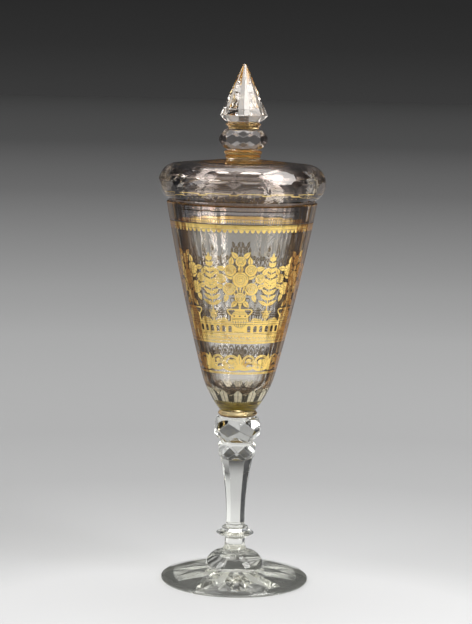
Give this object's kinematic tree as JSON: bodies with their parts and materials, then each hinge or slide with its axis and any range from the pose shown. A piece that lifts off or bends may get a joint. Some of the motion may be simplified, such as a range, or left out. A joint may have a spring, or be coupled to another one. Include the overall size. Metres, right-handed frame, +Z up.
{
  "type": "covered goblet",
  "caption": "Tall covered glass goblet with a faceted stem, a tapering double-walled bowl with gold leaf between its layers, and a lift-off cover with a spire finial.",
  "frame": {"origin": "on the axis, in the plane of the ring that the foot rests on", "axes": "+Z up along the axis of the goblet; -Y is the side seen in the picture"},
  "size_m": [0.0996, 0.0996, 0.3115],
  "materials": {
    "clear_glass": "polished",
    "bowl_glass": "polished",
    "gold_leaf": "burnished leaf",
    "amber_leaf": "lacquered leaf",
    "cement": "old resin",
    "lacquer": "clear lacquer",
    "silver_leaf": "tarnished leaf"
  },
  "bodies": {
    "goblet": {"foot": "clear_glass", "foot_dome": "clear_glass", "lower_merese": "clear_glass", "stem": "clear_glass", "stem_knop": "clear_glass", "bowl_collar": "clear_glass", "outer_bowl": "bowl_glass", "inner_bowl": "bowl_glass", "seam_cement": "cement", "rim_gold_band": "gold_leaf", "frieze_gold": "gold_leaf", "scroll_gold": "gold_leaf", "scroll_gold_line": "gold_leaf", "base_glaze": "lacquer", "base_rosette": "silver_leaf"},
    "cover": {"cover_shell": "bowl_glass", "cover_liner": "bowl_glass", "cover_cement": "cement", "cover_gold_border": "gold_leaf", "cover_gold_field": "amber_leaf", "finial_base_collar": "bowl_glass", "finial_knop": "bowl_glass", "finial_collar": "bowl_glass", "finial_spire": "bowl_glass"}
  },
  "joints": [
    {"name": "cover_lift", "type": "slide", "parent": "goblet", "child": "cover", "axis": [0, 0, 1], "range_m": [0, 0.12]}
  ]
}
